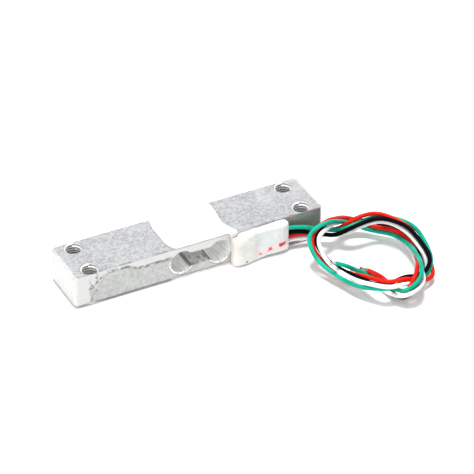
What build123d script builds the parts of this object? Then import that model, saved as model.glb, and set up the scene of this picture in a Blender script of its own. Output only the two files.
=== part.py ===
from build123d import *
import os
from math import pi, radians, tan

# Parallel-beam load cell. Millimetres. The origin is the middle of the bar's underside,
# which is the mounting face. X runs along the bar, -Y is the side with the wires.

# Aluminium bar
bar_length = 47.0
bar_width = 10.0
bar_height = 6.0
corner_radius = 0.8
edge_break = 0.15

# Four tapped holes, a pair across each end, each set in from the bar's end and side
hole_end_distance = 3.5
hole_side_distance = 1.7
thread_diameter = 3.0
countersink_diameter = 3.5

# Dog-bone cut-out: two bores joined by a lower slot. The thin walls over and under the bores
# are what bends under load.
thin_wall = 0.85
bore_spacing = 7.1
slot_height = 2.7

# Foil strain gauges over the thin walls of the bores
carrier_margin = 0.4
carrier_width = 3.2
carrier_thickness = 0.06
foil_thickness = 0.03
grid_length = 2.2
grid_lines = 6
grid_pitch = 0.26
grid_line_width = 0.14
tab_length = 0.8
tab_width = 0.7
tab_gap = 0.36

# Silicone coats over the gauges
coat_thickness = 0.35
coat_margin = 0.7
drip_thickness = 0.5
drip_depth = 0.95

# Gauge leads, enamelled wire. They run in lanes beside the gauges, fold over the edge of
# the bar and end on the landings of the board.
lead_diameter = 0.12
lead_clearance = 0.02
lead_corner = 0.25
lane_start = 3.0
lane_pitch = 0.24
fold_start = 6.56
fold_pitch = 0.22
fold_slant = 0.6
turn_pitch = 0.3

# Terminal board on the front side, with copper pads for the wires and landings for the leads
board_start = 7.6
board_length = 4.4
board_bottom = 0.35
board_top_clearance = 0.75
board_thickness = 0.3
pad_thickness = 0.04
pad_length = 1.5
pad_height = 0.5
landing_length = 0.6
landing_height = 0.26
landing_margin = 0.25
landing_pitch = 0.42
solder_height = 0.45
lead_solder_height = 0.2

# White silicone boot over the board: x, top, bottom and thickness of its sections
boot_sections = [
    (5.65, 5.10, -0.35, 1.30),
    (7.50, 5.50, -0.35, 2.00),
    (9.50, 5.60, -0.35, 1.60),
    (12.00, 5.70, -0.20, 1.40),
    (16.20, 5.65, -0.10, 1.25),
]
boot_corner = 0.4

# Wires
wire_diameter = 0.75
core_diameter = 0.36
tip_length = 2.0
inner_length = 1.4
insulation_start = 11.1
colours = ["green", "black", "red", "white"]

# Height of each wire on the board, and its place where it leaves the boot
pad_levels = {"green": 4.0, "black": 3.15, "red": 2.3, "white": 1.45}
exits = {
    "green": [(14.0, -5.74, 4.05), (16.7, -5.68, 4.12)],
    "black": [(14.0, -5.75, 3.19), (16.7, -5.8, 3.28)],
    "red": [(14.0, -5.7, 2.33), (16.7, -5.55, 2.42)],
    "white": [(14.0, -5.74, 1.47), (16.7, -5.68, 1.55)],
}

# Route of the bundle of four wires, chosen from the photograph. Each station holds x, y, z of
# the bundle's middle, and then each wire's place beside it: how far out from the loop and how
# far up the red, green, black and white wires lie.
stations = [
    (19.1, -6.0, 2.5, (0.25, -0.42), (0.0, 1.15), (-0.25, 0.34), (0.05, -1.22)),
    (22.0, -6.9, 2.0, (0.6, 0.2), (-0.15, 0.95), (-0.4, 0.1), (0.25, -0.8)),
    (24.5, -8.4, 2.3, (0.76, 0.1), (-0.17, 0.42), (-0.84, -0.15), (0.05, -0.65)),
    (25.8, -10.2, 4.2, (0.68, 0.45), (0.0, -0.15), (-0.87, 0.12), (-0.32, -0.95)),
    (28.0, -10.4, 4.9, (0.5, 0.6), (0.3, -0.38), (-0.7, 0.0), (-0.45, -0.8)),
    (31.1, -10.5, 4.9, (0.45, 0.45), (0.5, -0.45), (-0.55, 0.0), (-0.3, -0.78)),
    (33.2, -12.7, 4.9, (0.05, 0.25), (0.85, -0.15), (-0.75, 0.35), (-0.35, -0.55)),
    (34.6, -16.2, 4.8, (0.0, 0.0), (0.87, 0.15), (-0.6, 0.62), (-0.75, -0.45)),
    (34.7, -20.1, 4.1, (0.15, -0.72), (0.57, 0.12), (-0.42, 0.52), (-0.66, -0.32)),
    (34.3, -23.2, 2.9, (0.45, -1.0), (0.48, 0.08), (0.15, 0.92), (-0.42, -0.35)),
    (33.3, -24.9, 1.6, (0.85, -0.62), (-0.05, 0.0), (-0.05, 0.9), (-0.5, -0.92)),
    (31.1, -25.7, 1.2, (0.82, 0.25), (-0.14, -0.12), (-0.64, 0.58), (0.5, -0.9)),
    (27.4, -27.1, 3.4, (0.28, 0.52), (-0.02, -0.36), (-0.66, 0.3), (0.8, -0.16)),
    (24.3, -27.3, 3.6, (0.1, 0.5), (0.3, -0.72), (-0.4, -0.28), (0.92, -0.05)),
    (22.4, -25.5, 3.4, (-0.3, 0.5), (0.75, -0.8), (0.04, -0.42), (0.8, 0.12)),
    (21.1, -22.6, 2.6, (-1.2, 0.1), (1.05, -0.75), (-0.3, 0.1), (0.5, -0.08)),
    (20.0, -19.1, 1.9, (-1.0, -0.45), (1.0, -0.3), (-0.3, 0.3), (0.52, 0.38)),
    (18.6, -16.0, 2.1, (-0.4, -0.88), (0.78, -0.05), (-0.72, 0.0), (0.05, 0.52)),
    (17.9, -13.2, 3.1, (0.05, -0.4), (0.82, 0.12), (-0.78, 0.02), (-0.58, 0.92)),
    (18.0, -11.2, 4.6, (0.15, -0.1), (0.7, 0.68), (-0.72, -0.42), (-1.15, 0.35)),
    (19.9, -10.2, 5.4, (0.62, -0.02), (0.05, 0.87), (0.27, -0.86), (-0.6, -0.35)),
    (22.5, -9.3, 5.9, (0.35, 0.15), (-0.6, 0.25), (0.78, -0.62), (-0.3, -0.7)),
    (26.4, -6.9, 3.7, (0.0, 0.1), (-0.64, -0.42), (0.85, -0.08), (0.22, -0.78)),
    (28.7, -7.1, 2.4, (0.0, 0.38), (-0.8, -0.2), (0.8, -0.05), (0.05, -0.62)),
    (30.4, -8.3, 1.8, (-0.15, 0.45), (-0.52, -0.47), (0.68, 0.38), (0.35, -0.58)),
    (32.1, -9.9, 1.6, (-0.42, 0.4), (-0.42, -0.44), (0.42, 0.44), (0.42, -0.42)),
    (33.9, -11.7, 1.7, (-0.3, 0.42), (-0.62, -0.42), (0.54, 0.4), (0.3, -0.46)),
    (34.5, -14.4, 1.9, (-0.1, 0.3), (-0.9, -0.05), (0.74, 0.25), (-0.1, -0.62)),
    (34.2, -17.8, 2.1, (0.12, 0.0), (-0.62, 0.45), (0.78, -0.42), (-0.1, -0.8)),
    (33.0, -21.6, 2.7, (-0.18, -0.15), (-0.3, 0.72), (0.56, -0.65), (-0.3, -1.03)),
    (31.0, -25.9, 4.2, (-0.55, 0.14), (0.02, 0.92), (0.36, 0.04), (0.29, -0.9)),
    (29.4, -28.4, 4.1, (-0.72, 0.42), (0.4, 0.68), (-0.02, -0.02), (0.76, -0.68)),
    (27.8, -29.4, 3.2, (-0.69, 0.38), (0.25, 0.68), (-0.14, -0.76), (0.7, -0.24)),
    (26.2, -29.0, 2.0, (-0.74, 0.1), (0.08, 0.68), (0.06, -0.83), (0.78, -0.06)),
    (25.8, -26.2, 0.8, (-0.66, 0.1), (0.12, 0.66), (-0.1, -0.64), (0.66, -0.1)),
    (25.5, -24.1, 0.6, (-0.54, 0.42), (0.46, 0.48), (-0.44, -0.46), (0.56, -0.48)),
]

# Last points of each wire, where the bundle comes apart inside the loop
tails = {
    "red": [(25.5, -21.8, 1.6), (24.7, -19.2, 1.1)],
    "green": [(25.4, -21.8, 0.5), (24.9, -19.1, 0.1), (22.8, -19.0, 1.4), (20.6, -18.8, 3.3), (18.8, -18.3, 4.0)],
    "black": [(26.4, -20.3, 0.1), (25.5, -18.0, 0.1), (24.3, -17.0, 0.1)],
    "white": [(24.7, -22.2, 0.1), (23.9, -20.3, 0.1), (22.9, -18.6, 0.1)],
}

bore_diameter = bar_height - 2 * thin_wall
cutout_height = thin_wall + bore_diameter / 2
front = -bar_width / 2
hole_spacing_x = bar_length - 2 * hole_end_distance
hole_spacing_y = bar_width - 2 * hole_side_distance
board_height = bar_height - board_bottom - board_top_clearance
half_bore = bore_spacing / 2
board_face = front - board_thickness
pad_face = board_face - pad_thickness
wire_line = pad_face - wire_diameter / 2
tab_middle = grid_length / 2 + tab_length / 2
tab_offset = tab_gap / 2 + tab_width / 2
carrier_length = grid_length + tab_length + 2 * carrier_margin
coat_reach = half_bore + grid_length / 2 + carrier_margin + coat_margin


def bar():
    body = extrude(RectangleRounded(bar_length, bar_width, corner_radius), bar_height)
    rims = body.faces().sort_by(Axis.Z)[0].edges() + body.faces().sort_by(Axis.Z)[-1].edges()
    body = chamfer(rims, edge_break)
    middle = Plane.XZ * Pos(0, cutout_height)
    profile = middle * Rectangle(bore_spacing, slot_height)
    for side in (-1, 1):
        profile += middle * Pos(side * half_bore, 0) * Circle(bore_diameter / 2)
    body -= extrude(profile, bar_width, both=True)
    for place in GridLocations(hole_spacing_x, hole_spacing_y, 2, 2):
        body -= place * tapped_hole()
    return body


def tapped_hole():
    """Space of one through hole: the thread's outer diameter and a countersink at both ends."""
    sink = (countersink_diameter - thread_diameter) / 2
    wide = Circle(countersink_diameter / 2)
    narrow = Circle(thread_diameter / 2)
    hole = extrude(narrow, bar_height)
    hole += loft([Pos(0, 0, sink) * narrow, wide])
    hole += loft([Pos(0, 0, bar_height - sink) * narrow, Pos(0, 0, bar_height) * wide])
    return hole


def gauge_plane(side, face):
    """Plane of a gauge over its bore, x towards the bar's middle. Face is 1 on top, -1 below."""
    height = bar_height if face > 0 else 0
    return Plane(origin=(side * half_bore, 0, height), x_dir=(-side, 0, 0), z_dir=(0, 0, face))


def carrier(side, face):
    """Film that is bonded to the bar and carries the foil."""
    film = Pos(tab_length / 2, 0) * Rectangle(carrier_length, carrier_width)
    return gauge_plane(side, face) * extrude(film, carrier_thickness)


def grid(side, face):
    """Etched foil: a meander of lines along the bar, with both tabs at its inner end."""
    half = (grid_lines - 1) / 2 * grid_pitch
    foil = Pos(tab_middle, tab_offset) * Rectangle(tab_length, tab_width)
    foil += Pos(tab_middle, -tab_offset) * Rectangle(tab_length, tab_width)
    for number in range(grid_lines):
        across = number * grid_pitch - half
        foil += Pos(0, across) * Rectangle(grid_length, grid_line_width)
    for number in range(grid_lines - 1):
        end = -1 if number % 2 == 0 else 1
        turn = Pos(end * (grid_length - grid_line_width) / 2, (number + 0.5) * grid_pitch - half)
        foil += turn * Rectangle(grid_line_width, grid_pitch)
    return gauge_plane(side, face) * Pos(0, 0, carrier_thickness) * extrude(foil, foil_thickness)


def landing_level(lane, face):
    """Height of the middle of a lead's landing on the board."""
    step = landing_margin + lane * landing_pitch
    return board_bottom + board_height - step if face > 0 else board_bottom + step


def lead_path(lane, face):
    """Route of a lead. Lanes 0 and 1 serve the gauge near the boot, 2 and 3 the other one."""
    side = 1 if lane < 2 else -1
    far = lane in (1, 2)
    rise = carrier_thickness + foil_thickness + lead_clearance + lead_diameter / 2
    z = bar_height + rise if face > 0 else -rise
    tab_y = tab_offset if far else -tab_offset
    turn = tab_middle + tab_length / 2 + carrier_margin + 0.1 + (turn_pitch if far else 0)
    tab_x = side * (half_bore - tab_middle)
    turn_x = side * (half_bore - turn)
    lane_y = -(lane_start + lane * lane_pitch)
    skin = front - lead_clearance - lead_diameter / 2
    fold_x = fold_start - lane * fold_pitch
    slant_x = fold_x - fold_slant * (lane_y - skin)
    level = landing_level(lane, face)
    on_pad = pad_face - lead_clearance - lead_diameter / 2
    points = [
        (tab_x, tab_y, z),
        (turn_x, tab_y, z),
        (turn_x, lane_y, z),
        (slant_x, lane_y, z),
        (fold_x, skin, z),
        (fold_x, skin, level),
        (board_start - 0.55, skin, level),
        (board_start - 0.1, on_pad, level),
        (board_start + landing_length, on_pad, level),
    ]
    return FilletPolyline(*points, radius=lead_corner)


def tube(path, diameter):
    """Round solid along a path."""
    start = Plane(origin=path @ 0, z_dir=path % 0)
    return sweep(start * Circle(diameter / 2), path=path)


def lead_joint(lane, face):
    """Solder over the end of a lead on its landing."""
    x = board_start + 0.1 + landing_length / 2
    base = Plane(origin=(x, pad_face, landing_level(lane, face)), x_dir=(1, 0, 0), z_dir=(0, -1, 0))
    low = base * Rectangle(landing_length - 0.1, landing_height - 0.04)
    high = base.offset(lead_solder_height) * Rectangle(landing_length - 0.3, landing_height - 0.14)
    return loft([low, high])


def board():
    """Insulating board with its copper pads."""
    face = Plane(origin=(board_start, board_face, 0), x_dir=(1, 0, 0), z_dir=(0, -1, 0))
    middle = Pos(board_length / 2, board_bottom + board_height / 2)
    body = extrude(face * middle * Rectangle(board_length, board_height), -board_thickness)
    pad_x = insulation_start - board_start - 0.2 - pad_length / 2
    for level in pad_levels.values():
        body += extrude(face * Pos(pad_x, level) * Rectangle(pad_length, pad_height), pad_thickness)
    landing = Rectangle(landing_length, landing_height)
    for end in (-1, 1):
        for lane in range(4):
            spot = Pos(0.1 + landing_length / 2, landing_level(lane, end))
            body += extrude(face * spot * landing, pad_thickness)
    return body


def wire_joint(colour):
    """Solder that holds the stripped end of a wire on its pad."""
    x = insulation_start - 0.2 - pad_length / 2
    base = Plane(origin=(x, pad_face, pad_levels[colour]), x_dir=(1, 0, 0), z_dir=(0, -1, 0))
    low = base * Rectangle(pad_length - 0.14, pad_height - 0.06)
    high = base.offset(solder_height) * Rectangle(pad_length - 0.5, pad_height - 0.16)
    return loft([low, high]) - inner_end(colour)


def inner_end(colour):
    """Stripped end of a wire on the board."""
    start = (insulation_start - inner_length, wire_line, pad_levels[colour])
    return extrude(Plane(origin=start, x_dir=(0, 1, 0), z_dir=(1, 0, 0)) * Circle(core_diameter / 2), inner_length)


def boot_shape():
    """Outside of the silicone boot, flat against the front side of the bar."""
    sections = []
    for x, top, bottom, thickness in boot_sections:
        edge = Plane(origin=(x, front, 0), x_dir=(0, -1, 0), z_dir=(-1, 0, 0))
        outline = Polyline((0, bottom), (thickness, bottom), (thickness, top), (0, top), close=True)
        face = make_face(outline)
        sections.append(edge * fillet(face.vertices().group_by(Axis.X)[-1], boot_corner * thickness))
    return loft(sections)


def coat_outline():
    """Outline of the top coat, which reaches over both long edges."""
    reach = coat_reach
    half = bar_width / 2
    left = Spline(
        (-reach + 1.1, half),
        (-reach + 0.4, 0.8 * half),
        (-reach, 0.3 * half),
        (-reach, -0.4 * half),
        (-reach + 0.3, -0.8 * half),
        (-reach + 1.0, -half),
    )
    right = Spline(
        (reach + 1.15, -half),
        (reach + 0.75, -0.85 * half),
        (reach + 0.3, -0.6 * half),
        (reach, -0.3 * half),
        (reach + 0.25, 0.1 * half),
        (reach + 0.45, 0.6 * half),
        (reach + 0.25, half),
    )
    return make_face([left, right, Line(left @ 1, right @ 0), Line(right @ 1, left @ 0)])


def top_sealant(held, boot):
    """Silicone over the upper gauges, with a tongue down the front side to the boot."""
    coat = Pos(0, 0, bar_height) * extrude(coat_outline(), coat_thickness)
    tongue = Plane(origin=(0, front, 0), x_dir=(1, 0, 0), z_dir=(0, -1, 0))
    low = bar_height - drip_depth
    profile = Polyline(
        (boot_sections[0][0], low),
        (coat_reach + 1.2, low),
        (coat_reach + 1.1, bar_height + 0.6 * coat_thickness),
        (boot_sections[0][0] - 0.3, bar_height + 0.6 * coat_thickness),
        close=True,
    )
    coat += extrude(tongue * make_face(profile), drip_thickness)
    edge = extrude(RectangleRounded(bar_length, bar_width, corner_radius), bar_height)
    return coat - edge - boot - held


def bottom_sealant(held):
    """Silicone over the lower gauges. The load cell lies on its lower face."""
    half = bar_width / 2
    outline = RectangleRounded(2 * coat_reach + 0.8, bar_width, 0.9)
    coat = Pos(0.4, 0, -coat_thickness) * extrude(outline, coat_thickness)
    return coat - held


def route(colour):
    """Route points of one wire, from the board to its free end."""
    which = 3 + ["red", "green", "black", "white"].index(colour)
    points = [(insulation_start, wire_line, pad_levels[colour])] + exits[colour]
    for number, station in enumerate(stations):
        before = stations[max(number - 1, 0)]
        after = stations[min(number + 1, len(stations) - 1)]
        along = Vector(after[0] - before[0], after[1] - before[1]).normalized()
        out, up = station[which]
        points.append((station[0] - along.Y * out, station[1] + along.X * out, station[2] + up))
    return points + tails[colour]


def arc_radii(points):
    """Radius of the arc at each inner point, as large as the runs beside it allow."""
    radii = []
    for before, here, after in zip(points, points[1:], points[2:]):
        arriving = Vector(here) - Vector(before)
        leaving = Vector(after) - Vector(here)
        turn = radians(arriving.get_angle(leaving))
        radii.append(0.45 * min(arriving.length, leaving.length) / tan(turn / 2))
    return radii


def wire(colour):
    """Insulated part of a wire: straight runs joined by tangent arcs."""
    points = route(colour)
    radii = arc_radii(points)
    path = FilletPolyline(*points, radius=radii)
    solid = tube(path, wire_diameter)
    share = solid.volume / (pi * wire_diameter ** 2 / 4 * path.length)
    print(colour, "length", round(path.length, 1), "least radius", round(min(radii), 2), "volume share", round(share, 4))
    print("  radii", [round(radius, 1) for radius in radii])
    return solid, path


def tip(path):
    """Stripped and tinned free end of a wire."""
    end = Plane(origin=path @ 1, z_dir=path % 1)
    return extrude(end * Circle(core_diameter / 2), tip_length)


def main():
    pieces = {"bar": bar()}
    names = {1: "top", -1: "bottom"}
    for face in (1, -1):
        for side, place in ((-1, "left"), (1, "right")):
            pieces[f"gauge_carrier_{names[face]}_{place}"] = carrier(side, face)
            pieces[f"gauge_grid_{names[face]}_{place}"] = grid(side, face)
        for lane in range(4):
            lead = tube(lead_path(lane, face), lead_diameter)
            pieces[f"gauge_lead_{names[face]}_{lane + 1}"] = lead
            pieces[f"lead_solder_{names[face]}_{lane + 1}"] = lead_joint(lane, face) - lead
    pieces["terminal_board"] = board()
    for colour in colours:
        solid, path = wire(colour)
        pieces[f"wire_{colour}"] = solid
        pieces[f"wire_tip_{colour}"] = tip(path)
        pieces[f"wire_core_{colour}"] = inner_end(colour)
        pieces[f"wire_solder_{colour}"] = wire_joint(colour)
    boot = boot_shape()
    held = [piece for name, piece in pieces.items() if name != "bar" and "tip" not in name]
    pieces["top_sealant"] = top_sealant(held, boot)
    pieces["bottom_sealant"] = bottom_sealant(held)
    pieces["terminal_boot"] = boot - held
    os.makedirs("parts", exist_ok=True)
    for name, piece in pieces.items():
        piece.label = name
        export_step(piece, f"parts/{name}.step")


main()
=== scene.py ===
import math

import bmesh
import bpy
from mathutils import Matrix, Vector, noise


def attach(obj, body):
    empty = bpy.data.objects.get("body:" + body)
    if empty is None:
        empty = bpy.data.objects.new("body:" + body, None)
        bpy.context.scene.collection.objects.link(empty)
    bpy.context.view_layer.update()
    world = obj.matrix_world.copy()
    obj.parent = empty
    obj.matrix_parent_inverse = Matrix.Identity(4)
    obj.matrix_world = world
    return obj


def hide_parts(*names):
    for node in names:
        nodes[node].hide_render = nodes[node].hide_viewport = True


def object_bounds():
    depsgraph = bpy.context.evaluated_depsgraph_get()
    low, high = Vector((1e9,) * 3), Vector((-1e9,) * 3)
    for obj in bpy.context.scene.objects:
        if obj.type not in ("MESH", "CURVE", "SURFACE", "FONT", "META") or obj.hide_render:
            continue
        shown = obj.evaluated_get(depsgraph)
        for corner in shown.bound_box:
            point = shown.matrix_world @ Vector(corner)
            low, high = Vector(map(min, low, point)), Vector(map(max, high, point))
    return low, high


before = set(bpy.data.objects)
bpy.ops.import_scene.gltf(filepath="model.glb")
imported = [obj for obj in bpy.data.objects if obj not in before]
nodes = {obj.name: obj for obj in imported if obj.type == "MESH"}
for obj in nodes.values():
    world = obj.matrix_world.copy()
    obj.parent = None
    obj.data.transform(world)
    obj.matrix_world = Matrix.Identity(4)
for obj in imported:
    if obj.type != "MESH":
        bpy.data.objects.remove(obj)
cadBox = [list(corner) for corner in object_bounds()]
mm = 0.001
metre = 1000  # in mm, the unit of all places, sizes and patterns below
print("frame loaded,", len(nodes), "nodes")


# camera

camera = {
    "place": (-181.69, -375.81, 302.41),
    "target": (9.924, 1.007, 0.0),
    "lens": 227.85,
    "sensor": 36,
    "clip": (0.02, 20),  # in metres
}


def newObject(name, data):
    made = bpy.data.objects.new(name, data)
    bpy.context.scene.collection.objects.link(made)
    return made


def facing(place, target):
    # the turn that points a camera or a lamp at a target
    aim = (Vector(target) - Vector(place)).normalized()
    return aim.to_track_quat("-Z", "Y").to_euler()


def makeCamera(settings):
    data = bpy.data.cameras.new("productCamera")
    data.lens = settings["lens"]
    data.sensor_width = settings["sensor"]
    data.clip_start, data.clip_end = settings["clip"]
    made = newObject("productCamera", data)
    made.location = Vector(settings["place"]) * mm
    made.rotation_euler = facing(settings["place"], settings["target"])
    bpy.context.scene.camera = made


makeCamera(camera)
# plain colour handling, so that the paper goes to white and the wires keep their colours
bpy.context.scene.view_settings.view_transform = "Standard"
print("camera in place")


# shader tools

class Sum:
    # a socket that takes part in sums

    def __init__(self, paint, socket):
        self.paint = paint
        self.socket = socket

    def work(self, operation, *terms):
        return self.paint.add("ShaderNodeMath", {"operation": operation}, dict(enumerate(terms)))

    def __add__(self, other):
        return self.work("ADD", self, other)

    __radd__ = __add__

    def __sub__(self, other):
        return self.work("SUBTRACT", self, other)

    def __rsub__(self, other):
        return self.work("SUBTRACT", other, self)

    def __mul__(self, other):
        return self.work("MULTIPLY", self, other)

    __rmul__ = __mul__

    def __abs__(self):
        return self.work("ABSOLUTE", self)


class Paint:
    # one material, its nodes added by one method

    def __init__(self, name):
        self.material = bpy.data.materials.new(name)
        self.material.use_nodes = True
        self.tree = self.material.node_tree
        self.tree.nodes.clear()
        place = self.add("ShaderNodeTexCoord", output="Object")
        self.place = self.add("ShaderNodeMapping", {}, {
            "Vector": place, "Scale": (metre, metre, metre)})
        self.x, self.y, self.z = self.split(self.place)

    def add(self, kind, settings=None, inputs=None, output=0):
        node = self.tree.nodes.new(kind)
        for key, value in (settings or {}).items():
            setattr(node, key, value)
        for key, value in (inputs or {}).items():
            if isinstance(value, Sum):
                self.tree.links.new(value.socket, node.inputs[key])
            else:
                node.inputs[key].default_value = value
        return Sum(self, node.outputs[output]) if node.outputs else None

    def split(self, vector):
        first = self.add("ShaderNodeSeparateXYZ", {}, {0: vector})
        outputs = first.socket.node.outputs
        return [Sum(self, outputs[axis]) for axis in "XYZ"]

    def stretched(self, x, y, z):
        return self.add("ShaderNodeMapping", {}, {"Vector": self.place, "Scale": (x, y, z)})

    def distance(self, first, second):
        return self.add("ShaderNodeVectorMath", {"operation": "DISTANCE"}, {
            0: first, 1: second}, "Value")

    def grain(self, scale, detail=3.0, rough=0.5, vector=None):
        return self.add("ShaderNodeTexNoise", {}, {
            "Vector": vector or self.place, "Scale": scale, "Detail": detail,
            "Roughness": rough}, "Fac")

    def ramp(self, value, low, high, start=0.0, end=1.0):
        # a soft step from start to end as the value goes from low to high, which may be the lower
        return self.add("ShaderNodeMapRange", {"interpolation_type": "SMOOTHSTEP"}, {
            "Value": value, "From Min": low, "From Max": high, "To Min": start, "To Max": end})

    def mix(self, factor, first, second):
        # colours or sockets that carry them
        return self.add("ShaderNodeMix", {"data_type": "RGBA"}, {
            0: factor, 6: self.colour(first), 7: self.colour(second)}, 2)

    def colour(self, value):
        return value if isinstance(value, Sum) else (*value, 1)

    def bump(self, height, strength, distance, normal=None):
        inputs = {"Height": height, "Strength": strength, "Distance": distance * mm}
        if normal:
            inputs["Normal"] = normal
        return self.add("ShaderNodeBump", {}, inputs)

    def finish(self, colour, rough, normal=None, metallic=0.0, **constants):
        values = {"Base Color": self.colour(colour), "Roughness": rough, "Metallic": metallic}
        if normal:
            values["Normal"] = normal
        values.update({key.replace("_", " "): value for key, value in constants.items()})
        shader = self.add("ShaderNodeBsdfPrincipled", {}, values)
        self.add("ShaderNodeOutputMaterial", {}, {"Surface": shader})
        return self.material


def wear(piece, material):
    piece.data.materials.clear()
    piece.data.materials.append(material)


def smoothFaces(mesh):
    for face in mesh.polygons:
        face.use_smooth = True


# the four wires

wires = {
    "diameter": 0.75,
    "start": 11.1,  # where they begin inside the boot
    "line": -5.715,  # their place in front of the bar there
    "levels": {"green": 4.0, "black": 3.15, "red": 2.3, "white": 1.45},
    "lengths": {"green": 127.6, "black": 120.5, "red": 119.2, "white": 120.6},
    "fineness": {"along": 10, "around": 7},
    "sheen": {"green": 0.1, "black": 0.02, "red": 0.08, "white": 0.15},
    "colours": {
        "green": (0.004, 0.36, 0.235),
        "black": (0.003, 0.003, 0.005),
        "red": (0.70, 0.012, 0.005),
        "white": (0.82, 0.82, 0.83),
    },
    # share of the colour that the darker parts keep, and what dust makes of it
    "darker": 0.72,
    "dusty": {"times": 1.1, "plus": 0.012},
}

# just outside the boot; the second point is where each wire is taken to leave it
exits = {
    "green": [(14.0, -5.74, 4.05), (16.7, -5.68, 4.12)],
    "black": [(14.0, -5.75, 3.19), (16.7, -5.8, 3.28)],
    "red": [(14.0, -5.7, 2.33), (16.7, -5.55, 2.42)],
    "white": [(14.0, -5.74, 1.47), (16.7, -5.68, 1.55)],
}

# middle of the bundle, then how far out and up each wire lies from it
stationColumns = ("x", "y", "z", "red", "green", "black", "white")
stations = [
    (19.1, -6.0, 2.5, (0.25, -0.42), (0.0, 1.15), (-0.25, 0.34), (0.05, -1.22)),
    (22.0, -6.9, 2.0, (0.6, 0.2), (-0.15, 0.95), (-0.4, 0.1), (0.25, -0.8)),
    (24.5, -8.4, 2.3, (0.76, 0.1), (-0.17, 0.42), (-0.84, -0.15), (0.05, -0.65)),
    (25.8, -10.2, 4.2, (0.68, 0.45), (0.0, -0.15), (-0.87, 0.12), (-0.32, -0.95)),
    (28.0, -10.4, 4.9, (0.5, 0.6), (0.3, -0.38), (-0.7, 0.0), (-0.45, -0.8)),
    (31.1, -10.5, 4.9, (0.45, 0.45), (0.5, -0.45), (-0.55, 0.0), (-0.3, -0.78)),
    (33.2, -12.7, 4.9, (0.05, 0.25), (0.85, -0.15), (-0.75, 0.35), (-0.35, -0.55)),
    (34.6, -16.2, 4.8, (0.0, 0.0), (0.87, 0.15), (-0.6, 0.62), (-0.75, -0.45)),
    (34.7, -20.1, 4.1, (0.15, -0.72), (0.57, 0.12), (-0.42, 0.52), (-0.66, -0.32)),
    (34.3, -23.2, 2.9, (0.45, -1.0), (0.48, 0.08), (0.15, 0.92), (-0.42, -0.35)),
    (33.3, -24.9, 1.6, (0.85, -0.62), (-0.05, 0.0), (-0.05, 0.9), (-0.5, -0.92)),
    (31.1, -25.7, 1.2, (0.82, 0.25), (-0.14, -0.12), (-0.64, 0.58), (0.5, -0.9)),
    (27.4, -27.1, 3.4, (0.28, 0.52), (-0.02, -0.36), (-0.66, 0.3), (0.8, -0.16)),
    (24.3, -27.3, 3.6, (0.1, 0.5), (0.3, -0.72), (-0.4, -0.28), (0.92, -0.05)),
    (22.4, -25.5, 3.4, (-0.3, 0.5), (0.75, -0.8), (0.04, -0.42), (0.8, 0.12)),
    (21.1, -22.6, 2.6, (-1.2, 0.1), (1.05, -0.75), (-0.3, 0.1), (0.5, -0.08)),
    (20.0, -19.1, 1.9, (-1.0, -0.45), (1.0, -0.3), (-0.3, 0.3), (0.52, 0.38)),
    (18.6, -16.0, 2.1, (-0.4, -0.88), (0.78, -0.05), (-0.72, 0.0), (0.05, 0.52)),
    (17.9, -13.2, 3.1, (0.05, -0.4), (0.82, 0.12), (-0.78, 0.02), (-0.58, 0.92)),
    (18.0, -11.2, 4.6, (0.15, -0.1), (0.7, 0.68), (-0.72, -0.42), (-1.15, 0.35)),
    (19.9, -10.2, 5.4, (0.62, -0.02), (0.05, 0.87), (0.27, -0.86), (-0.6, -0.35)),
    (22.5, -9.3, 5.9, (0.35, 0.15), (-0.6, 0.25), (0.78, -0.62), (-0.3, -0.7)),
    (26.4, -6.9, 3.7, (0.0, 0.1), (-0.64, -0.42), (0.85, -0.08), (0.22, -0.78)),
    (28.7, -7.1, 2.4, (0.0, 0.38), (-0.8, -0.2), (0.8, -0.05), (0.05, -0.62)),
    (30.4, -8.3, 1.8, (-0.15, 0.45), (-0.52, -0.47), (0.68, 0.38), (0.35, -0.58)),
    (32.1, -9.9, 1.6, (-0.42, 0.4), (-0.42, -0.44), (0.42, 0.44), (0.42, -0.42)),
    (33.9, -11.7, 1.7, (-0.3, 0.42), (-0.62, -0.42), (0.54, 0.4), (0.3, -0.46)),
    (34.5, -14.4, 1.9, (-0.1, 0.3), (-0.9, -0.05), (0.74, 0.25), (-0.1, -0.62)),
    (34.2, -17.8, 2.1, (0.12, 0.0), (-0.62, 0.45), (0.78, -0.42), (-0.1, -0.8)),
    (33.0, -21.6, 2.7, (-0.18, -0.15), (-0.3, 0.72), (0.56, -0.65), (-0.3, -1.03)),
    (31.0, -25.9, 4.2, (-0.55, 0.14), (0.02, 0.92), (0.36, 0.04), (0.29, -0.9)),
    (29.4, -28.4, 4.1, (-0.72, 0.42), (0.4, 0.68), (-0.02, -0.02), (0.76, -0.68)),
    (27.8, -29.4, 3.2, (-0.69, 0.38), (0.25, 0.68), (-0.14, -0.76), (0.7, -0.24)),
    (26.2, -29.0, 2.0, (-0.74, 0.1), (0.08, 0.68), (0.06, -0.83), (0.78, -0.06)),
    (25.8, -26.2, 0.8, (-0.66, 0.1), (0.12, 0.66), (-0.1, -0.64), (0.66, -0.1)),
    (25.5, -24.1, 0.6, (-0.54, 0.42), (0.46, 0.48), (-0.44, -0.46), (0.56, -0.48)),
]

# from the end of the bundle each wire goes its own way
tails = {
    "red": [(25.5, -21.8, 1.6), (24.7, -19.2, 1.1)],
    "green": [(25.4, -21.8, 0.5), (24.9, -19.1, 0.1), (22.8, -19.0, 1.4), (20.6, -18.8, 3.3),
              (18.8, -18.3, 4.0)],
    "black": [(26.4, -20.3, 0.1), (25.5, -18.0, 0.1), (24.3, -17.0, 0.1)],
    "white": [(24.7, -22.2, 0.1), (23.9, -20.3, 0.1), (22.9, -18.6, 0.1)],
}


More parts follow.
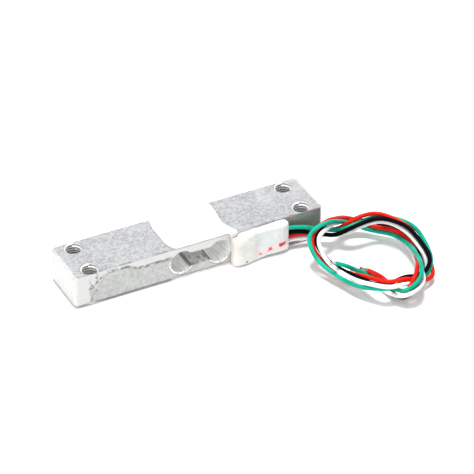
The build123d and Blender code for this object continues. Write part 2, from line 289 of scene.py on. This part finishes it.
def wireRoute(colour):
    which = stationColumns.index(colour)
    points = [(wires["start"], wires["line"], wires["levels"][colour])] + exits[colour]
    for number, station in enumerate(stations):
        before = stations[max(number - 1, 0)]
        after = stations[min(number + 1, len(stations) - 1)]
        along = Vector((after[0] - before[0], after[1] - before[1])).normalized()
        out, up = station[which]
        points.append((station[0] - along.y * out, station[1] + along.x * out, station[2] + up))
    return points + tails[colour]


def nurbsCurve(name, points, diameter):
    data = bpy.data.curves.new(name, "CURVE")
    data.dimensions = "3D"
    spline = data.splines.new("NURBS")
    spline.points.add(len(points) - 1)
    for point, place in zip(spline.points, points):
        point.co = (*(Vector(place) * mm), 1)
    spline.order_u = 3
    spline.use_endpoint_u = True
    data.resolution_u = wires["fineness"]["along"]
    data.bevel_depth = diameter / 2 * mm
    data.bevel_resolution = wires["fineness"]["around"]
    data.use_fill_caps = True
    return newObject(name, data)


def insulation(colour):
    # extruded plastic: faint waviness along it, a little dust and handling wear
    base = wires["colours"][colour]
    dusty = wires["dusty"]
    dark = tuple(channel * wires["darker"] for channel in base)
    pale = tuple(min(1, channel * dusty["times"] + dusty["plus"]) for channel in base)
    paint = Paint("insulation_" + colour)
    dust = paint.ramp(paint.grain(2.2, 5.0, 0.65), 0.55, 0.8)
    shade = paint.ramp(paint.grain(0.35, 2.0), 0.3, 0.7, 0.86, 1.06)
    body = paint.mix(paint.ramp(shade, 0.86, 1.06), dark, base)
    body = paint.mix(dust * 0.35, body, pale)
    rough = paint.ramp(paint.grain(5.0, 4.0), 0.3, 0.7, 0.26, 0.44)
    normal = paint.bump(paint.grain(1.6, 2.0), 0.12, 0.05)
    normal = paint.bump(paint.grain(14.0, 3.0), 0.1, 0.01, normal)
    return paint.finish(body, rough, normal, Specular_IOR_Level=wires["sheen"][colour])


strands = {
    "count": 7,  # one in the middle and the rest round it
    "thickness": 0.11,
    "sides": 8,
    "steps": 14,
    "ring": 0.125,
    "twist": 0.75,  # in turns
    "opening": 1.3,  # how much wider the ring gets
    "tuck": 0.25,  # length inside the insulation
    "cut": 0.6,  # thickness of the cut ends, as a share
    "uneven": {"reach": 0.12, "side": 0.22, "rise": 0.15},
    "seed": 7,  # without one the unevenness would differ from run to run
    "floor": -0.35,
    "clear": 0.6,  # how far over the floor, in thicknesses
    # rise and sideways splay of each bare end, and how far it reaches past the insulation
    "ends": {
        "red": (-0.25, 0.1, 2.0),
        "black": (0.3, -0.2, 2.0),
        "white": (0.35, 0.25, 1.9),
        "green": (-0.5, 0.1, 1.4),
    },
}


def tubeMesh(bm, points, radius):
    # a closed round tube along the points
    sides = strands["sides"]
    helper = Vector((0.2, 0.1, 1))  # any direction that no strand takes
    rings = []
    for number, point in enumerate(points):
        before = points[max(number - 1, 0)]
        after = points[min(number + 1, len(points) - 1)]
        along = (after - before).normalized()
        across = along.cross(helper).normalized()
        over = across.cross(along)
        size = radius * (strands["cut"] if number in (0, len(points) - 1) else 1)
        ring = []
        for side in range(sides):
            turn = 2 * math.pi * side / sides
            reach = across * math.cos(turn) + over * math.sin(turn)
            ring.append(bm.verts.new(point + reach * size))
        rings.append(ring)
    for first, second in zip(rings, rings[1:]):
        for side in range(sides):
            after = (side + 1) % sides
            bm.faces.new((first[side], first[after], second[after], second[side]))
    bm.faces.new(list(reversed(rings[0])))
    bm.faces.new(rings[-1])


def bareEnd(colour):
    # tinned strands, twisted where they leave the insulation and opening towards their ends
    before, start = [Vector(point) for point in wireRoute(colour)[-2:]]
    along = (start - before).normalized()
    across = along.cross(Vector((0, 0, 1))).normalized()
    over = across.cross(along)
    rise, splay, reach = strands["ends"][colour]
    uneven = strands["uneven"]
    lowest = strands["floor"] + strands["clear"] * strands["thickness"]
    bm = bmesh.new()
    for number in range(strands["count"]):
        points = []
        ring = strands["ring"] if number else 0
        turn = 2 * math.pi * number / (strands["count"] - 1)
        # each strand reads its own place in the noise
        wander = noise.noise_vector(Vector((number * 1.7, len(colour), 0.3)))
        own = reach * (1 + uneven["reach"] * wander.x)
        for step in range(strands["steps"] + 1):
            share = step / strands["steps"]
            opened = share ** 2
            angle = turn + 2 * math.pi * strands["twist"] * share
            wide = ring * (1 + strands["opening"] * opened)
            point = start + along * (own * share - strands["tuck"])
            point += (across * math.cos(angle) + over * math.sin(angle)) * wide
            point += across * (splay * opened + uneven["side"] * wander.y * opened)
            point.z += rise * opened + uneven["rise"] * wander.z * opened
            point.z = max(point.z, lowest)
            points.append(point * mm)
        tubeMesh(bm, points, strands["thickness"] / 2 * mm)
    mesh = bpy.data.meshes.new("strands_" + colour)
    bmesh.ops.recalc_face_normals(bm, faces=bm.faces)
    bm.to_mesh(mesh)
    bm.free()
    smoothFaces(mesh)
    return newObject("strands_" + colour, mesh)


def tinned():
    paint = Paint("tinned_strands")
    spots = paint.ramp(paint.grain(6.0, 4.0), 0.45, 0.7)
    colour = paint.mix(spots, (0.62, 0.60, 0.58), (0.42, 0.36, 0.32))
    rough = paint.ramp(paint.grain(9.0), 0.3, 0.7, 0.22, 0.42)
    return paint.finish(colour, rough, paint.bump(paint.grain(20.0), 0.2, 0.01), 0.9)


tinnedFinish = tinned()
noise.seed_set(strands["seed"])
for colour in wires["levels"]:
    cord = nurbsCurve("insulated_" + colour, wireRoute(colour), wires["diameter"])
    wear(cord, insulation(colour))
    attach(cord, "root")
    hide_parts("wire_" + colour)
    bare = bareEnd(colour)
    wear(bare, tinnedFinish)
    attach(bare, "root")
    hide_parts("wire_tip_" + colour)
print("wires and bare ends made")


# silicone coats and boot

skins = {
    "voxel": 0.1,
    "weld": 0.002,
    "smoothing": 0.5,
    "flat": 0.5,  # how squarely a face looks out of the bar, from 0 to 1, to count as flat
    "swell": {"broad": 0.55, "fine": 1.4, "share": 0.5, "shift": (7, 3, 1)},
    "clear": 0.005,  # how far the skins stay inside the bar's back
    # seat: the axis across the bar's face, the direction in which the bar lies, how far out a
    # flat part of the skin still counts as seated, and where it is laid, just inside the metal
    "pieces": {
        "top_sealant": {
            "name": "top_coat_skin", "lumps": 0.05, "smooth": 14, "seat": ("z", -1, 6.1, 5.985)},
        "bottom_sealant": {
            "name": "bottom_coat_skin", "lumps": 0.03, "smooth": 10, "seat": ("z", 1, -0.1, 0.015)},
        "terminal_boot": {
            "name": "boot_skin", "lumps": 0.11, "smooth": 16, "seat": ("y", 1, -5.1, -4.985)},
    },
}


def roundedCopy(node, settings):
    # the CAD solid's outside in mm, its edges rounded
    bm = bmesh.new()
    bm.from_mesh(nodes[node].data)
    bmesh.ops.scale(bm, vec=(metre, metre, metre), verts=bm.verts)
    bmesh.ops.remove_doubles(bm, verts=bm.verts, dist=skins["weld"])
    mesh = bpy.data.meshes.new(settings["name"])
    bm.to_mesh(mesh)
    bm.free()
    carrier = newObject("rough", mesh)
    remesh = carrier.modifiers.new("remesh", "REMESH")
    remesh.mode = "VOXEL"
    remesh.voxel_size = skins["voxel"]
    remesh.use_smooth_shade = True
    smooth = carrier.modifiers.new("smooth", "SMOOTH")
    smooth.factor = skins["smoothing"]
    smooth.iterations = settings["smooth"]
    bpy.context.view_layer.update()
    depsgraph = bpy.context.evaluated_depsgraph_get()
    made = bpy.data.meshes.new_from_object(carrier.evaluated_get(depsgraph))
    bpy.data.objects.remove(carrier)
    made.name = settings["name"]
    return made


def siliconeSkin(node, settings):
    # slightly uneven as cured silicone is, and flat where it sits on the bar
    made = roundedCopy(node, settings)
    axis, side, near, seat = settings["seat"]
    which = "xyz".index(axis)
    lowest = cadBox[0][2] * metre
    rearmost = cadBox[1][1] * metre - skins["clear"]
    swell = skins["swell"]
    shift = Vector(swell["shift"])
    normals = [vertex.normal.copy() for vertex in made.vertices]
    for vertex, normal in zip(made.vertices, normals):
        place = vertex.co.copy()
        height = noise.noise(place * swell["broad"])
        height += swell["share"] * noise.noise(place * swell["fine"] + shift)
        place += normal * height * settings["lumps"]
        if side * place[which] > side * near and abs(normal[which]) > skins["flat"]:
            place[which] = seat
        place.z = max(place.z, lowest)
        place.y = min(place.y, rearmost)
        vertex.co = place * mm
    smoothFaces(made)
    return newObject(settings["name"], made)


siliconeLooks = {
    "coats": ((0.80, 0.80, 0.785), (0.66, 0.66, 0.645)),
    "boot": ((0.50, 0.50, 0.47), (0.62, 0.62, 0.59)),
    "bootFront": (-5.0, -5.35),  # the y over which the boot's darker tone comes in
    "cool": {"colour": (0.60, 0.655, 0.68), "run": (10.5, 11.5)},
    "smear": {"colour": (0.86, 0.70, 0.66), "run": (7.4, 5.9)},
    # the red wire showing through: its height at one x, its slope and its unevenness
    "streak": {"x": 11.0, "height": 1.25, "slope": 0.16, "wobble": 0.5,
               "colour": (0.50, 0.004, 0.02), "run": (10.0, 10.8)},
    "halo": {"colour": (0.86, 0.50, 0.50), "run": (9.5, 11.5)},
    # pit: a dark spot painted as the shade inside a small pit low on the boot's front
    "pit": {"place": (7.8, -6.7, 0.5), "size": (0.42, 0.25), "colour": (0.20, 0.19, 0.18)},
    "specks": (0.42, 0.40, 0.38),
    "glow": {"weight": 0.15, "radius": (0.0012, 0.0008, 0.0007), "scale": 0.5},
}


def silicone():
    # white, a pinkish smear at the boot's left end, red showing through its lower right edge
    looks = siliconeLooks
    paint = Paint("white_silicone")
    cloud = paint.grain(0.5, 4.0, 0.6)
    onBoot = paint.ramp(paint.y, *looks["bootFront"])
    body = paint.mix(paint.ramp(cloud, 0.35, 0.65), *looks["coats"])
    boot = paint.mix(paint.ramp(cloud, 0.4, 0.6), *looks["boot"])
    body = paint.mix(onBoot * 0.85, body, boot)
    cool = paint.ramp(paint.x + 1.5 * cloud, *looks["cool"]["run"]) * onBoot
    body = paint.mix(cool * 0.6, body, looks["cool"]["colour"])
    smear = paint.ramp(paint.x + 1.2 * cloud, *looks["smear"]["run"]) * onBoot
    body = paint.mix(smear * 0.55, body, looks["smear"]["colour"])
    # how far a point is from the line of the red wire
    line = looks["streak"]
    wobble = line["wobble"] * (paint.grain(0.9, 3.0, 0.6) - 0.5)
    away = abs(paint.z - line["height"] - line["slope"] * (paint.x - line["x"]) + wobble)
    halo = paint.ramp(away, 1.1, 0.2) * paint.ramp(paint.x, *looks["halo"]["run"]) * onBoot
    body = paint.mix(halo * 0.45, body, looks["halo"]["colour"])
    streak = paint.ramp(away, 0.45, 0.33) * paint.ramp(paint.x, *line["run"]) * onBoot
    gaps = paint.ramp(paint.grain(0.55, 2.0), 0.46, 0.54)
    body = paint.mix(streak * gaps, body, line["colour"])
    # painted shade: a dark spot for a small pit low on the boot's front
    pit = paint.distance(paint.place, looks["pit"]["place"])
    body = paint.mix(paint.ramp(pit, *looks["pit"]["size"]), body, looks["pit"]["colour"])
    specks = paint.ramp(paint.grain(3.2, 2.0), 0.73, 0.78)
    body = paint.mix(specks * 0.35, body, looks["specks"])
    rough = paint.ramp(paint.grain(1.4, 3.0), 0.3, 0.7, 0.3, 0.5)
    normal = paint.bump(paint.grain(1.1, 4.0, 0.55), 0.35, 0.12)
    normal = paint.bump(paint.grain(6.0, 3.0), 0.15, 0.02, normal)
    glow = looks["glow"]
    return paint.finish(body, rough, normal, Subsurface_Weight=glow["weight"],
                        Subsurface_Radius=glow["radius"], Subsurface_Scale=glow["scale"])


siliconeFinish = silicone()
for node, settings in skins["pieces"].items():
    skin = siliconeSkin(node, settings)
    wear(skin, siliconeFinish)
    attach(skin, "root")
    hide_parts(node)
print("silicone skins made")


# aluminium bar and the threads in its holes

barLooks = {
    # how high, how far across and how far along the finish of each face comes in
    "faces": {"top": (5.84, 5.94), "side": (4.84, 4.94), "front": (-4.84, -4.94),
              "end": (22.8, 23.3)},
    "shadedBlast": {
        # the top's blasted finish, its greys also kept darker as painted shade
        "mottle": ((0.17, 0.174, 0.182), (0.345, 0.349, 0.359)),
        "specks": (0.55, 0.55, 0.565),
        "clouds": (0.46, 0.46, 0.47),
        "smudges": (0.15, 0.15, 0.155),
        "nicks": (0.10, 0.10, 0.10),
    },
    "milled": ((0.50, 0.50, 0.495), (0.56, 0.56, 0.55)),
    "ends": {"mottle": ((0.50, 0.50, 0.48), (0.66, 0.66, 0.64)), "chips": (0.16, 0.16, 0.155)},
    # painted shadow along the bottom of the front side, over the narrow gap above the floor
    "footShadow": {"height": (0.3, 0.12), "colour": (0.08, 0.08, 0.08)},
    # old glue on the front side: its height, how far that drops between which x, its left end
    "film": {
        "height": 5.35,
        "drops": ((2.3, -17.5, -20.9), (0.9, -14.0, -11.5)),
        "left": (-20.9, -20.5),
        "mottle": ((0.36, 0.37, 0.36), (0.50, 0.51, 0.50)),
        "stains": (0.30, 0.30, 0.295),
    },
    "filmEdge": {"colour": (0.10, 0.10, 0.10), "left": (-21.3, -20.7), "right": (-5.0, -6.5)},
    "pits": {"colour": (0.09, 0.09, 0.09), "x": -20.0, "reach": (1.0, 0.5)},
    # wires and boot mirrored in the side, from the boot's right end on
    "mirrored": {
        "run": (9.0, 12.0),
        "grey": (0.26, 0.27, 0.265),
        "green": (0.10, 0.30, 0.20),
        "red": (0.50, 0.16, 0.17),
    },
    "bores": {
        "centres": (-3.55, 3.55),
        "height": 3.0,
        # lip: a painted highlight on the rims; shade: a painted shade just outside them
        "lip": {"radius": 2.25, "colour": (0.92, 0.92, 0.90)},
        "shade": {"radius": 2.55, "colour": (0.22, 0.22, 0.21)},
    },
    # the cut-out's inside: its reach across, along and up or down from the bores' height
    "pocket": {
        "across": (4.97, 4.9),
        "along": (5.75, 5.7),
        "up": (2.2, 2.16),
        "walls": ((0.72, 0.72, 0.71), (0.98, 0.98, 0.97)),
        "slot": {"along": (1.95, 1.8), "colour": (0.30, 0.30, 0.29)},
        # cusp: painted shade along the edges where the bores meet the slot
        "cuspShade": {"along": 1.88, "colour": (0.10, 0.10, 0.10)},
    },
}


def blastedShadedTop(paint, mottle, fine):
    # mottled cool grey with brighter specks, smudges and nicks towards the long edges; the blasted
    # grey is also painted darker than the sides, as painted shade for how the light falls on the
    # top
    looks = barLooks["shadedBlast"]
    broad = paint.grain(0.22, 4.0, 0.6)
    colour = paint.mix(paint.ramp(mottle, 0.35, 0.65), *looks["mottle"])
    colour = paint.mix(paint.ramp(fine, 0.42, 0.68) * 0.6, colour, looks["specks"])
    colour = paint.mix(paint.ramp(broad, 0.45, 0.7) * 0.35, colour, looks["clouds"])
    smudge = paint.grain(0.7, 4.0, 0.65, paint.stretched(0.5, 1.3, 1.0))
    smudge = paint.ramp(smudge, 0.56, 0.66) * paint.ramp(abs(paint.y), 2.6, 4.6)
    colour = paint.mix(smudge * 0.6, colour, looks["smudges"])
    nicks = paint.ramp(paint.grain(2.6, 3.0), 0.60, 0.66) * paint.ramp(abs(paint.y), 4.55, 4.8)
    return paint.mix(nicks * 0.8, colour, looks["nicks"])


def glueFilm(paint, milled, mottle, front):
    # dull stained film with a ragged dark edge; also gives where it is
    looks, edge, pit = barLooks["film"], barLooks["filmEdge"], barLooks["pits"]
    rag = paint.grain(0.8, 4.0, 0.65) - 0.5
    depth = looks["height"]
    for drop, start, end in looks["drops"]:
        depth = depth - drop * paint.ramp(paint.x, start, end)
    depth = depth - paint.z + 0.9 * rag
    film = paint.ramp(depth, -0.05, 0.15) * paint.ramp(paint.x + 0.8 * rag, *looks["left"]) * front
    stains = paint.ramp(paint.grain(0.9, 5.0, 0.7), 0.54, 0.66)
    dull = paint.mix(paint.ramp(mottle, 0.35, 0.65), *looks["mottle"])
    dull = paint.mix(stains * 0.5, dull, looks["stains"])
    face = paint.mix(film, milled, dull)
    rim = paint.ramp(abs(depth), 0.42, 0.08) * paint.ramp(paint.grain(1.7, 4.0, 0.7), 0.42, 0.52)
    dark = paint.ramp(paint.x, *edge["right"]) * paint.ramp(paint.x, *edge["left"])
    face = paint.mix(rim * front * dark * 0.85, face, edge["colour"])
    pits = paint.ramp(paint.grain(2.1, 3.0), 0.57, 0.62)
    pits = pits * paint.ramp(abs(paint.x - pit["x"]), *pit["reach"])
    return film, paint.mix(pits * front * 0.8, face, pit["colour"])


def mirroredWires(paint, face, front):
    # dull reflections of what lies beside the bar
    looks = barLooks["mirrored"]
    beside = front * paint.ramp(paint.x, *looks["run"])
    tint = paint.grain(0.5, 2.0, 0.5, paint.stretched(0.7, 1.0, 1.4))
    face = paint.mix(beside, face, looks["grey"])
    face = paint.mix(beside * paint.ramp(tint, 0.5, 0.62) * 0.5, face, looks["green"])
    return paint.mix(beside * paint.ramp(tint, 0.47, 0.36) * 0.5, face, looks["red"])


def boreRims(paint, face, front):
    # painted highlight: bright patchy rims round the two bores, widest at their lower left, each
    # with a thin painted shade outside on its lower half
    looks = barLooks["bores"]
    flat = paint.add("ShaderNodeCombineXYZ", {}, {0: paint.x, 2: paint.z})
    rimGlint = paint.ramp(paint.grain(1.2, 3.0), 0.38, 0.55)
    low = paint.ramp(paint.z, 3.2, 1.8)
    for centre in looks["centres"]:
        reach = paint.distance(flat, (centre, 0, looks["height"]))
        lip = rimGlint * paint.ramp(abs(reach - looks["lip"]["radius"]), 0.24, 0.06)
        lip = lip * paint.ramp(paint.z + 0.6 * (paint.x - centre), 3.4, 1.6)
        face = paint.mix(lip * front, face, looks["lip"]["colour"])
        shade = paint.ramp(abs(reach - looks["shade"]["radius"]), 0.14, 0.03) * low
        face = paint.mix(shade * front * 0.6, face, looks["shade"]["colour"])
    return face


def pocketWalls(paint):
    # pale walls, a darker streaky slot, and dark lines of painted shade where the bores run into it
    looks = barLooks["pocket"]
    up = abs(paint.z - barLooks["bores"]["height"])
    inside = paint.ramp(abs(paint.y), *looks["across"]) * paint.ramp(up, *looks["up"])
    inside = inside * paint.ramp(abs(paint.x), *looks["along"])
    streaky = paint.grain(1.0, 4.0, 0.7, paint.stretched(3.0, 0.5, 3.0))
    wall = paint.mix(paint.ramp(streaky, 0.35, 0.62), *looks["walls"])
    slot = paint.ramp(abs(paint.x), *looks["slot"]["along"]) * paint.ramp(streaky, 0.42, 0.58)
    wall = paint.mix(slot, wall, looks["slot"]["colour"])
    # painted shade: dark lines at the cusps where the bores run into the slot
    cuspShade = paint.ramp(abs(abs(paint.x) - looks["cuspShade"]["along"]), 0.36, 0.14)
    return inside, paint.mix(cuspShade * 0.8, wall, looks["cuspShade"]["colour"])


def aluminium():
    paint = Paint("bar_aluminium")
    # the bar's faces, told by their place
    faces = barLooks["faces"]
    top = paint.ramp(paint.z, *faces["top"])
    side = paint.ramp(abs(paint.y), *faces["side"])
    front = paint.ramp(paint.y, *faces["front"])
    end = paint.ramp(abs(paint.x), *faces["end"])
    mottle = paint.grain(1.9, 5.0, 0.7)
    fine = paint.grain(6.5, 3.0, 0.7)
    # milled sides: fine lines along the bar
    lines = paint.grain(1.0, 4.0, 0.7, paint.stretched(0.12, 1.0, 7.0))
    milled = paint.mix(paint.ramp(lines, 0.3, 0.7), *barLooks["milled"])
    film, face = glueFilm(paint, milled, mottle, front)
    face = mirroredWires(paint, face, front)
    face = boreRims(paint, face, front)
    # painted shadow: the front side darkens towards its bottom edge
    footShadow = front * paint.ramp(paint.z, *barLooks["footShadow"]["height"])
    face = paint.mix(footShadow * 0.85, face, barLooks["footShadow"]["colour"])
    colour = paint.mix(side, milled, face)
    colour = paint.mix(top, colour, blastedShadedTop(paint, mottle, fine))
    # sawn ends, a little chipped
    sawn = paint.mix(paint.ramp(mottle, 0.35, 0.6), *barLooks["ends"]["mottle"])
    colour = paint.mix(end * 0.6, colour, sawn)
    chips = paint.ramp(paint.grain(1.5, 4.0), 0.63, 0.68) * paint.ramp(abs(paint.y), 2.0, 4.6)
    colour = paint.mix(chips * end * 0.7, colour, barLooks["ends"]["chips"])
    inside, wall = pocketWalls(paint)
    colour = paint.mix(inside, colour, wall)
    rough = paint.ramp(mottle, 0.3, 0.7, 0.42, 0.58) + top * 0.2 + film * 0.12
    normal = paint.bump(paint.mix(side, fine, lines), 0.35, 0.03)
    normal = paint.bump(paint.grain(2.2, 4.0), 0.25, 0.06, normal)
    metallic = 0.5 - 0.3 * film - 0.35 * inside - 0.35 * top
    return paint.finish(colour, rough, normal, metallic)


threads = {
    "radius": 1.45,
    "pitch": 0.5,
    "depth": 0.2,
    "bottom": 0.3,
    "top": 5.7,
    "spacing": (40.0, 6.6),
    "steps": 40,  # in one turn
    "sides": 4,
}


def threadMaterial():
    paint = Paint("cut_thread")
    streaks = paint.grain(1.0, 3.0, 0.6, paint.stretched(2.0, 2.0, 12.0))
    colour = paint.mix(paint.ramp(streaks, 0.35, 0.65), (0.72, 0.72, 0.72), (0.90, 0.90, 0.90))
    rough = paint.ramp(paint.grain(4.0), 0.3, 0.7, 0.25, 0.4)
    return paint.finish(colour, rough, paint.bump(streaks, 0.2, 0.02), 0.45)


def threadTree(material):
    # one turn after another up a hole, at each point it is given
    tree = bpy.data.node_groups.new("threadTurns", "GeometryNodeTree")
    board = tree.interface
    board.new_socket("Geometry", in_out="INPUT", socket_type="NodeSocketGeometry")
    sockets = {}
    for key in ("radius", "pitch", "depth", "length"):
        socket = board.new_socket(key, in_out="INPUT", socket_type="NodeSocketFloat")
        sockets[key] = socket.identifier
    board.new_socket("Geometry", in_out="OUTPUT", socket_type="NodeSocketGeometry")

    def add(kind, values=None, **settings):
        node = tree.nodes.new(kind)
        for key, value in settings.items():
            setattr(node, key, value)
        for key, value in (values or {}).items():
            if isinstance(value, bpy.types.NodeSocket):
                tree.links.new(value, node.inputs[key])
            else:
                node.inputs[key].default_value = value
        return node.outputs

    given = add("NodeGroupInput")
    turns = add("ShaderNodeMath", {0: given["length"], 1: given["pitch"]}, operation="DIVIDE")
    spiral = add("GeometryNodeCurveSpiral", {
        "Resolution": threads["steps"], "Rotations": turns[0], "Start Radius": given["radius"],
        "End Radius": given["radius"], "Height": given["length"]})
    upright = add("GeometryNodeSetCurveNormal", {"Curve": spiral[0]}, mode="Z_UP")
    section = add("GeometryNodeCurvePrimitiveCircle", {
        "Resolution": threads["sides"], "Radius": given["depth"]})
    solid = add("GeometryNodeCurveToMesh", {
        "Curve": upright[0], "Profile Curve": section["Curve"], "Fill Caps": True})
    spread = add("GeometryNodeInstanceOnPoints", {
        "Points": given["Geometry"], "Instance": solid[0]})
    real = add("GeometryNodeRealizeInstances", {0: spread[0]})
    painted = add("GeometryNodeSetMaterial", {"Geometry": real[0], "Material": material})
    add("NodeGroupOutput", {0: painted[0]})
    return tree, sockets


def bakeNodes(name, places, tree, values):
    # runs a tree on a cloud of points and keeps the plain mesh
    mesh = bpy.data.meshes.new(name + "_points")
    mesh.from_pydata([Vector(place) * mm for place in places], [], [])
    carrier = newObject(name + "_carrier", mesh)
    modifier = carrier.modifiers.new("nodes", "NODES")
    modifier.node_group = tree
    for key, value in values.items():
        modifier[key] = value
    bpy.context.view_layer.update()
    depsgraph = bpy.context.evaluated_depsgraph_get()
    made = bpy.data.meshes.new_from_object(carrier.evaluated_get(depsgraph))
    bpy.data.objects.remove(carrier)
    made.name = name
    return newObject(name, made)


wear(nodes["bar"], aluminium())
tree, sockets = threadTree(threadMaterial())
along, across = [spacing / 2 for spacing in threads["spacing"]]
holes = [(x, y, threads["bottom"]) for x in (-along, along) for y in (-across, across)]
turnsMesh = bakeNodes("hole_threads", holes, tree, {
    sockets["radius"]: threads["radius"] * mm,
    sockets["pitch"]: threads["pitch"] * mm,
    sockets["depth"]: threads["depth"] * mm,
    sockets["length"]: (threads["top"] - threads["bottom"]) * mm,
})
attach(turnsMesh, "root")
print("bar and threads made")


# gauges, leads, board and solder under the silicone

# material, its two colours, scale of the patches, roughness, metallic, height of the bumps
inner = {
    "gauge_carrier": (
        "amber_film", (0.62, 0.32, 0.05), (0.74, 0.42, 0.09), 1.2, 0.25, 0.0, 0.01),
    "gauge_grid": (
        "etched_foil", (0.50, 0.42, 0.32), (0.62, 0.53, 0.41), 5.0, 0.35, 0.8, 0.005),
    "gauge_lead": (
        "enamelled_copper", (0.45, 0.14, 0.03), (0.60, 0.22, 0.06), 3.0, 0.22, 0.7, 0.005),
    "lead_solder": (
        "lead_solder_finish", (0.60, 0.60, 0.61), (0.75, 0.75, 0.76), 4.0, 0.25, 0.9, 0.02),
    "wire_solder": (
        "wire_solder_finish", (0.58, 0.58, 0.60), (0.74, 0.74, 0.75), 3.0, 0.25, 0.9, 0.02),
}

board = {
    "mask": ((0.02, 0.16, 0.06), (0.03, 0.22, 0.09)),
    "pads": (0.74, 0.73, 0.70),
    "padFront": (-5.305, -5.315),  # the y over which the pads' tone comes in
}


def plainFinish(name, first, second, scale, roughness, metallic, height):
    paint = Paint(name)
    patches = paint.grain(scale, 4.0, 0.6)
    colour = paint.mix(paint.ramp(patches, 0.35, 0.65), first, second)
    rough = paint.ramp(paint.grain(scale * 2.3), 0.3, 0.7, roughness * 0.8, roughness * 1.2)
    return paint.finish(colour, rough, paint.bump(patches, 0.2, height), metallic)


def boardFinish():
    # green mask, tinned copper where the pads stand proud
    paint = Paint("board_finish")
    cloud = paint.grain(1.5, 3.0)
    mask = paint.mix(paint.ramp(cloud, 0.3, 0.7), *board["mask"])
    pad = paint.ramp(paint.y, *board["padFront"])
    colour = paint.mix(pad, mask, board["pads"])
    rough = paint.ramp(cloud, 0.3, 0.7, 0.28, 0.42)
    return paint.finish(colour, rough, paint.bump(cloud, 0.15, 0.02), pad * 0.9)


finishes = {start: plainFinish(*settings) for start, settings in inner.items()}
finishes["wire_core"] = tinnedFinish
finishes["terminal_board"] = boardFinish()
for name, node in nodes.items():
    for start, material in finishes.items():
        if name.startswith(start):
            wear(node, material)
print("inner pieces finished")


# floor and light, in metres

studio = {
    "floor": 3.0,
    "below": 0.00001,  # how far the paper lies under the lowest wire
    "paper": ((0.93, 0.93, 0.93), (0.95, 0.95, 0.95)),
    "target": (0.01, -0.005, 0),
    "lamps": {
        "key": {"place": (-0.5, -0.12, 0.22), "size": 0.3, "power": 1.0},
        "front": {"place": (-0.1, -0.6, 0.4), "size": 0.5, "power": 0.5},
        "over": {"place": (0.02, 0.02, 0.6), "size": 0.2, "power": 4.9},
    },
    "sky": 0.58,
}


def makeFloor():
    size = studio["floor"] / 2
    level = cadBox[0][2] - studio["below"]
    corners = [(-size, -size, level), (size, -size, level), (size, size, level),
               (-size, size, level)]
    mesh = bpy.data.meshes.new("paper")
    mesh.from_pydata(corners, [], [(0, 1, 2, 3)])
    made = newObject("paper", mesh)
    paint = Paint("paper_finish")
    fibre = paint.grain(0.02, 3.0)
    colour = paint.mix(paint.ramp(fibre, 0.3, 0.7), *studio["paper"])
    wear(made, paint.finish(colour, 0.7))


def makeLamp(name, settings):
    data = bpy.data.lights.new(name, "AREA")
    data.shape = "DISK"
    data.size = settings["size"]
    data.energy = settings["power"]
    made = newObject(name, data)
    made.location = settings["place"]
    made.rotation_euler = facing(settings["place"], studio["target"])


def makeSky():
    world = bpy.data.worlds.new("studio")
    bpy.context.scene.world = world
    world.use_nodes = True
    back = world.node_tree.nodes["Background"]
    back.inputs["Color"].default_value = (1, 1, 1, 1)
    back.inputs["Strength"].default_value = studio["sky"]


makeFloor()
for name, settings in studio["lamps"].items():
    makeLamp(name, settings)
makeSky()
print("floor and lights in place")
